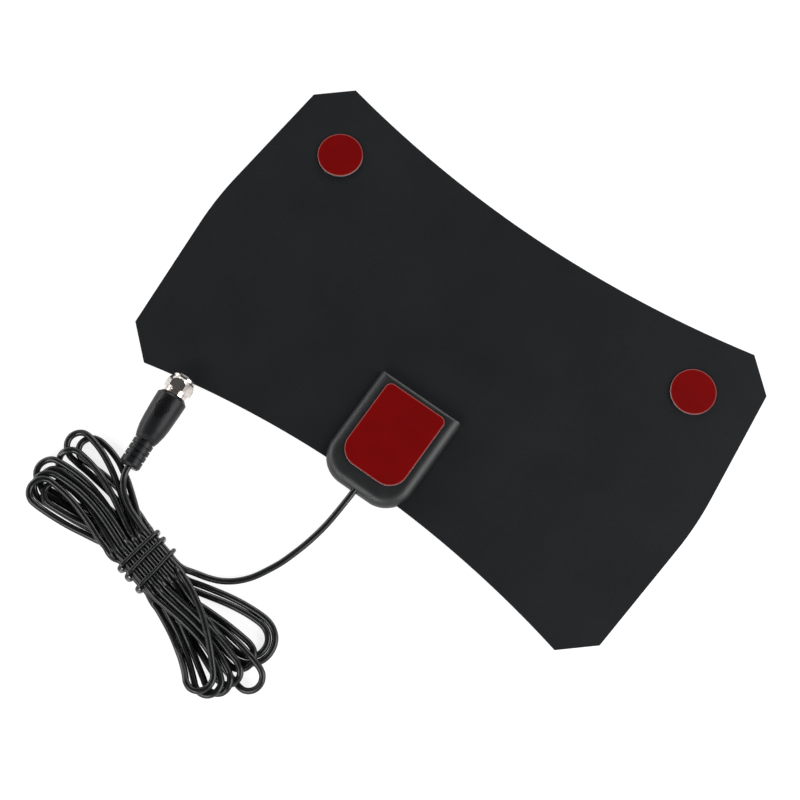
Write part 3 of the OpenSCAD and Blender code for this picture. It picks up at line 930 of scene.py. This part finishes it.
    def wound(self) -> np.ndarray:
        """The lead as laid out before it settles: each strand through the waist, then a loop.

        Returns:
            Its points, unevenly spaced.
        """
        parts = [self.head()]
        places = self.waist.places
        for k, (across, row) in enumerate(places):
            go = 1 if k % 2 else -1
            z = self.waist.rows[row]
            along = [s * go * self.waist.half_run for s in (-1, 0, 1)]
            parts.append(np.array([[*self.waist.point(at, across), z] for at in along]))
            if k + 1 < len(places):
                turns = self.right_turns if k % 2 else self.left_turns
                parts.append(self.lobe(go, turns[k // 2], across, places[k + 1][0], k // 2))
        return np.vstack(parts + [self.tail()])

    def held(self, x: np.ndarray) -> np.ndarray:
        """Which points stay put: the free stretch, the strands under the tie, and the tail.

        Args:
            x: the lead's points.

        Returns:
            True for each point that stays.
        """
        run, side = self.waist.axes()
        off = x[:, :2] - self.waist.middle
        tied = self.waist.half_run - self.tie_slack
        fixed = (np.abs(off @ run) < tied) & (np.abs(off @ side) < self.tie_reach)
        ends = self.end_points
        fixed[: np.argmin(np.linalg.norm(x[:ends] - self.head()[-3], axis=1)) + 1] = True
        fixed[len(x) - ends + np.argmin(np.linalg.norm(x[-ends:] - self.tail()[1], axis=1)):] = True
        return fixed

    def settled(self) -> np.ndarray:
        """Lets the hank settle.

        Returns:
            The lead's points in metres.
        """
        x, step = evened(flowing(self.wound(), self.laid_cuts), self.spacing)
        fixed = self.held(x)
        plan = x.copy()
        over = self.soft_over
        height = np.pad(x[:, 2], over // 2, mode="edge")
        soft = np.convolve(height, np.full(over, 1 / over), "valid")
        x[:, 2] = np.where(fixed, x[:, 2], soft)
        settling = Settling(self, x, plan, step, fixed)
        rounds = self.rounds
        return settling.run(rounds) * MM


def bezier(
    p0: np.ndarray, d0: np.ndarray, p1: np.ndarray, d1: np.ndarray, k0: float, k1: float
) -> np.ndarray:
    """Cubic Bezier curve.

    Args:
        p0: its start.
        d0: unit direction there.
        p1: its end.
        d1: unit direction there.
        k0: the start's handle as a share of the distance from p0 to p1.
        k1: the end's handle as such a share.

    Returns:
        BEZIER_POINTS points of the curve.
    """
    reach = np.linalg.norm(p1 - p0)
    f = np.linspace(0.0, 1.0, BEZIER_POINTS)[:, None]
    a, b = p0 + d0 * reach * k0, p1 - d1 * reach * k1
    return (1 - f) ** 3 * p0 + 3 * (1 - f) ** 2 * f * a + 3 * (1 - f) * f**2 * b + f**3 * p1


@dataclass
class Settling:
    """Position-based settling of a cord that lies in itself. The cord starts thin and grows
    to its diameter while it sinks, so its strands push one another aside. The shares say how
    much of its correction each rule makes in one go."""

    lead: Lead
    x: np.ndarray
    plan: np.ndarray
    step: float
    fixed: np.ndarray
    sink: float = 0.012
    drag: float = 0.86
    fastest: float = 0.25
    skip: int = 5
    wave: int = 3
    relist: int = 4
    margin: float = 1.2
    bend_share: float = 0.25
    shape_share: float = 0.12
    wave_share: float = 0.10
    part_share: float = 0.9
    crowd: float = 0.6
    boot_from: float = 2.0
    boot_to: float = 20.0
    boot_radius: float = 4.6
    boot_swell: float = 2.2

    def run(self, rounds: int) -> np.ndarray:
        """Settles the cord.

        Args:
            rounds: number of time steps.

        Returns:
            The settled points.
        """
        self.free = np.where(self.fixed, 0.0, 1.0)
        before = self.x.copy()
        grown = self.lead.full_at * rounds
        for k in range(rounds):
            share = min(1.0, self.lead.thin_start + (1 - self.lead.thin_start) * k / grown)
            thick = self.lead.diameter * share
            if k % self.relist == 0:
                self.near(thick + self.step + self.margin)
            speed = np.clip((self.x - before) * self.drag, -self.fastest, self.fastest)
            speed[:, 2] -= self.sink
            before = self.x.copy()
            self.x = self.x + speed * self.free[:, None]
            for _ in range(self.lead.repeats):
                self.stretch()
                self.bend()
                self.shape()
                self.part(thick)
                self.floor()
                self.clear_boot()
        return self.x

    def near(self, reach: float) -> None:
        """Lists the pairs of steps whose middles are close.

        Args:
            reach: how close.
        """
        middle = (self.x[1:] + self.x[:-1]) / 2
        square = (middle**2).sum(1)
        gap = square[:, None] + square[None, :] - 2 * middle @ middle.T
        self.i, self.j = np.nonzero(np.triu(gap < reach * reach, self.skip))

    def stretch(self) -> None:
        """Brings each step back to its length, even and odd steps in turn."""
        for first in (0, 1):
            k = np.arange(first, len(self.x) - 1, 2)
            off = self.x[k + 1] - self.x[k]
            size = np.linalg.norm(off, axis=1)
            weight = self.free[k] + self.free[k + 1]
            pull = np.where(weight > 0, (size - self.step) / size / np.maximum(weight, 1), 0.0)
            self.x[k] += off * (pull * self.free[k])[:, None]
            self.x[k + 1] -= off * (pull * self.free[k + 1])[:, None]

    def bend(self) -> None:
        """Keeps points two steps apart at least as far as on the tightest bend."""
        least = 2 * self.step * math.cos(self.step / self.lead.tightest / 2)
        for first in (0, 1, 2):
            k = np.arange(first, len(self.x) - 2, 3)
            off = self.x[k + 2] - self.x[k]
            size = np.linalg.norm(off, axis=1)
            short = np.minimum(size - least, 0.0) / np.maximum(size, TINY)
            push = off * (short * self.bend_share)[:, None]
            self.x[k] += push * self.free[k][:, None]
            self.x[k + 2] -= push * self.free[k + 2][:, None]

    def shape(self) -> None:
        """Evens out what the cord has moved from its laid-out shape, by the fourth difference."""
        y = self.x - self.plan
        even = np.zeros_like(y)
        even[2:-2] = (4 * (y[1:-3] + y[3:-1]) - y[:-4] - y[4:] - 6 * y[2:-2]) / 16
        w = self.wave
        wide = np.zeros_like(y)
        wide[2 * w : -2 * w] = (
            4 * (y[w : -3 * w] + y[3 * w : -w]) - y[: -4 * w] - y[4 * w :] - 6 * y[2 * w : -2 * w]
        ) / 16
        both = even * self.shape_share + wide * self.wave_share
        self.x += both * self.free[:, None]

    def part(self, thick: float) -> None:
        """Pushes apart the listed steps at their closest points.

        Args:
            thick: how far apart they have to be.
        """
        i, j, n = self.i, self.j, len(self.x)
        s, t = closest(self.x[i], self.x[i + 1], self.x[j], self.x[j + 1])
        gap = self.x[i] + (self.x[i + 1] - self.x[i]) * s[:, None]
        gap -= self.x[j] + (self.x[j + 1] - self.x[j]) * t[:, None]
        size = np.linalg.norm(gap, axis=1)
        close = size < thick
        if not close.any():
            return
        s, t, gap, size, i, j = (v[close] for v in (s, t, gap, size, i, j))
        share = np.stack([1 - s, s, 1 - t, t])
        ends = np.stack([i, i + 1, j, j + 1])
        loose = self.free[ends]
        total = (share**2 * loose).sum(0)
        deep = (thick - size) / np.maximum(total, LEAST_WEIGHT) / np.maximum(size, TINY)
        push = np.where(total > TINY, deep, 0.0)
        amount = share * loose * push * np.array([1, 1, -1, -1])[:, None]
        flat = ends.ravel()
        count = np.maximum(np.bincount(flat, minlength=n) * self.crowd, 1)
        for axis in range(3):
            moved = np.bincount(flat, weights=(amount * gap[:, axis]).ravel(), minlength=n)
            self.x[:, axis] += self.part_share * moved / count

    def floor(self) -> None:
        """Keeps the cord on the floor."""
        lowest = self.lead.diameter / 2
        self.x[:, 2] = np.where(self.fixed, self.x[:, 2], np.maximum(self.x[:, 2], lowest))

    def clear_boot(self) -> None:
        """Keeps the cord out of the plug's tapered boot."""
        run = np.array(self.lead.plug_run)
        tail = np.array(self.lead.plug_tail)
        start, end = tail + self.boot_from * run, tail + self.boot_to * run
        span = end - start
        along = np.clip((self.x - start) @ span / (span @ span), 0, 1)
        middle = start + along[:, None] * span
        swell = self.boot_swell * np.clip(along * 2, 0, 1)
        keep = self.boot_radius + swell + self.lead.diameter / 2
        off = self.x - middle
        size = np.linalg.norm(off, axis=1)
        inside = (size < keep) & ~self.fixed
        self.x[inside] = (middle + off / size[:, None] * keep[:, None])[inside]


def closest(
    p1: np.ndarray, q1: np.ndarray, p2: np.ndarray, q2: np.ndarray
) -> tuple[np.ndarray, np.ndarray]:
    """Where straight steps come closest, one pair of steps a row.

    Args:
        p1: starts of the first steps.
        q1: their ends.
        p2: starts of the second steps.
        q2: their ends.

    Returns:
        The places on the first and on the second steps, as shares from start to end.
    """
    d1, d2, r = q1 - p1, q2 - p2, p1 - p2
    a, e, f = (d1 * d1).sum(1), (d2 * d2).sum(1), (d2 * r).sum(1)
    c, b = (d1 * r).sum(1), (d1 * d2).sum(1)
    cross = a * e - b * b
    s = np.clip((b * f - c * e) / np.maximum(cross, TINY), 0, 1)
    s = np.where(cross < PARALLEL * a * e, 0.5, s)
    t = np.clip((b * s + f) / e, 0, 1)
    s = np.clip((b * t - c) / a, 0, 1)
    return s, np.clip((b * s + f) / e, 0, 1)


@dataclass
class TieWire:
    """Covered tie wire wound three times round the hank's waist: half turns round a rounded
    rectangle, from below to above and back."""

    waist: Waist
    diameter: float = 1.7
    half_width: float = 10.9
    half_height: float = 4.7
    middle_z: float = 5.55
    corner: float = 3.0
    crossings: tuple[float, ...] = (-8, -6.5, -4.5, -2.5, 1, 4.8, 7)
    step: float = 1.0
    corner_points: int = 16
    sides: int = 12

    def half(self) -> np.ndarray:
        """Half way round the rounded rectangle, from the middle of its lower side.

        Returns:
            Points at equal steps, across and up.
        """
        w, h, r = self.half_width, self.half_height, self.corner
        a = np.radians(np.linspace(0, 90, self.corner_points))
        corner_low = np.column_stack([w - r + r * np.sin(a), r - h - r * np.cos(a)])
        corner_top = np.column_stack([w - r + r * np.cos(a), h - r + r * np.sin(a)])
        line = np.vstack([[0, -h], corner_low, corner_top, [0, h]])
        line = np.column_stack([line, np.zeros(len(line))])
        return evened(line, self.step)[0][:, :2]

    def line(self) -> np.ndarray:
        """The wire's centreline.

        Returns:
            Its points in metres.
        """
        half = self.half()
        count = len(half) - 1
        run, side = self.waist.axes()
        parts = []
        for k in range(len(self.crossings) - 1):
            f = np.arange(count) / count
            p = half[:-1] if k % 2 == 0 else -half[:-1]
            along = self.crossings[k] + (self.crossings[k + 1] - self.crossings[k]) * f
            parts.append(np.column_stack([along, p]))
        path = np.vstack(parts)
        plan = np.array(self.waist.middle) + path[:, :1] * run + path[:, 1:2] * side
        return np.column_stack([plan, self.middle_z + path[:, 2]]) * MM


def build_lead(lead: Lead) -> bpy.types.Object:
    """Args:
        lead: the lead's sizes.

    Returns:
        The lead's object.
    """
    fine = flowing(lead.settled(), lead.drawn_cuts)
    cord = tube("lead_cord", fine, lead.diameter * MM / 2, lead.sides, (0, 0, 1))
    dressed(cord, Finish.jacket, "lead", "lead_hank", "lead_tail")
    wire = TieWire(lead.waist)
    across = (*lead.waist.axes()[0], 0)
    tie = tube("tie_wire", wire.line(), wire.diameter * MM / 2, wire.sides, across)
    dressed(tie, Finish.tie_wire, "cord_tie")
    lead.diameter * MM
    return cord


# Camera, floor and light


@dataclass(frozen=True)
class SoftBox:
    """One rectangular area light, aimed at the antenna."""

    name: str
    place: Point
    width: float
    height: float
    power: float
    aim: Point = (0.0, -0.05, 0.0)


@dataclass
class Studio:
    """White table, four low soft boxes round it, a dim ceiling and the camera's place."""

    eye: Point = (82.3, -196.2, 711.2)
    right: Point = (0.81764, 0.57478, 0.03305)
    up: Point = (-0.56267, 0.78564, 0.25725)
    back: Point = (0.12190, -0.22893, 0.96578)
    lens: float = 77.4
    sensor: float = 36.0
    clip: Pair = (0.01, 50.0)
    floor_size: float = 8.0
    floor_z: float = -0.00015
    floor_colour: Colour = (0.42, 0.42, 0.42)
    floor_glow: float = 0.80
    wall_radius: float = 3.2
    wall_height: float = 3.0
    wall_sides: int = 64
    sky: float = 0.10
    boxes: tuple[SoftBox, ...] = (
        SoftBox("right_box", (1.30, 0.38, 0.85), 1.5, 1.2, 24.0),
        SoftBox("near_box", (-0.15, -1.35, 0.95), 1.5, 0.7, 18.0),
        SoftBox("left_box", (-1.45, -0.35, 0.38), 1.4, 0.3, 10.0),
        SoftBox("far_box", (-0.25, 1.45, 0.40), 1.4, 0.3, 10.0),
    )

    def camera(self) -> None:
        """Makes the camera from its three axes."""
        data = bpy.data.cameras.new("camera")
        data.lens = self.lens
        data.sensor_width = self.sensor
        data.clip_start, data.clip_end = self.clip
        cam = placed("camera", data)
        axes = np.column_stack([self.right, self.up, self.back])
        turn, _, flip = np.linalg.svd(axes)
        matrix = np.eye(4)
        matrix[:3, :3] = turn @ flip
        matrix[:3, 3] = np.array(self.eye) * MM
        cam.matrix_world = Matrix(matrix.tolist())
        bpy.context.scene.camera = cam

    def stage(
        self, name: str, verts: np.ndarray, faces: list[list[int]], colour: Colour, glow: float
    ) -> None:
        """Adds a part of the studio that camera, glossy and transmission rays see as white.

        Args:
            name: its name.
            verts: its corners in metres.
            faces: its faces.
            colour: its own colour, on which shadows fall.
            glow: what those rays see on top of it.
        """
        mesh = bpy.data.meshes.new(name)
        mesh.from_pydata(verts.tolist(), [], faces)
        piece = placed(name, mesh)
        g = Graph(name)
        camera, glossy, through = (
            g.node("LightPath", result="Is " + ray + " Ray")
            for ray in ("Camera", "Glossy", "Transmission")
        )
        diffuse = g.node("BsdfDiffuse", None, {"Color": colour})
        seen = (camera + glossy + through) * glow
        light = g.node("Emission", None, {"Color": (1.0, 1.0, 1.0), "Strength": seen})
        both = g.node("AddShader", None, {0: diffuse, 1: light})
        g.tree.links.new(both.out, g.output.inputs["Surface"])
        mesh.materials.append(g.material)

    def floor(self) -> None:
        """The wide floor, which keeps the antenna's shadow, and the white wall round it."""
        half = self.floor_size / 2
        z = self.floor_z
        corners = np.array([(-half, -half, z), (half, -half, z), (half, half, z), (-half, half, z)])
        self.stage("floor", corners, [[0, 1, 2, 3]], self.floor_colour, self.floor_glow)
        count = self.wall_sides
        angle = np.arange(count) * (2 * math.pi / count)
        ring = self.wall_radius * np.column_stack([np.cos(angle), np.sin(angle)])
        low, high = (np.column_stack([ring, np.full(count, at)]) for at in (z, self.wall_height))
        faces = [[k, (k + 1) % count, count + (k + 1) % count, count + k] for k in range(count)]
        self.stage("wall", np.vstack([low, high]), faces, (0.0, 0.0, 0.0), 1.0)

    def lights(self) -> None:
        """The soft boxes, and an even sky."""
        for box in self.boxes:
            data = bpy.data.lights.new(box.name, "AREA")
            data.shape = "RECTANGLE"
            data.size, data.size_y = box.width, box.height
            data.energy = box.power
            lamp = placed(box.name, data)
            lamp.location = box.place
            toward = Vector(box.aim) - Vector(box.place)
            lamp.rotation_euler = toward.to_track_quat("-Z", "Y").to_euler()
        world = bpy.data.worlds.new("sky")
        world.use_nodes = True
        bpy.context.scene.world = world
        background = world.node_tree.nodes["Background"]
        background.inputs["Color"].default_value = (1.0, 1.0, 1.0, 1.0)
        background.inputs["Strength"].default_value = self.sky

    def build(self) -> None:
        """Sets up camera, floor and light."""
        self.camera()
        self.floor()
        self.lights()
        bpy.context.scene.view_settings.view_transform = "Standard"
        LOG.info("studio")


def main() -> None:
    """Builds the scene in order."""
    logging.basicConfig(level=logging.INFO, format="%(message)s")
    Studio().build()
    build_lead(Lead())
    dress_nodes()
    RolledRoof().build()


if __name__ == "__main__":
    main()
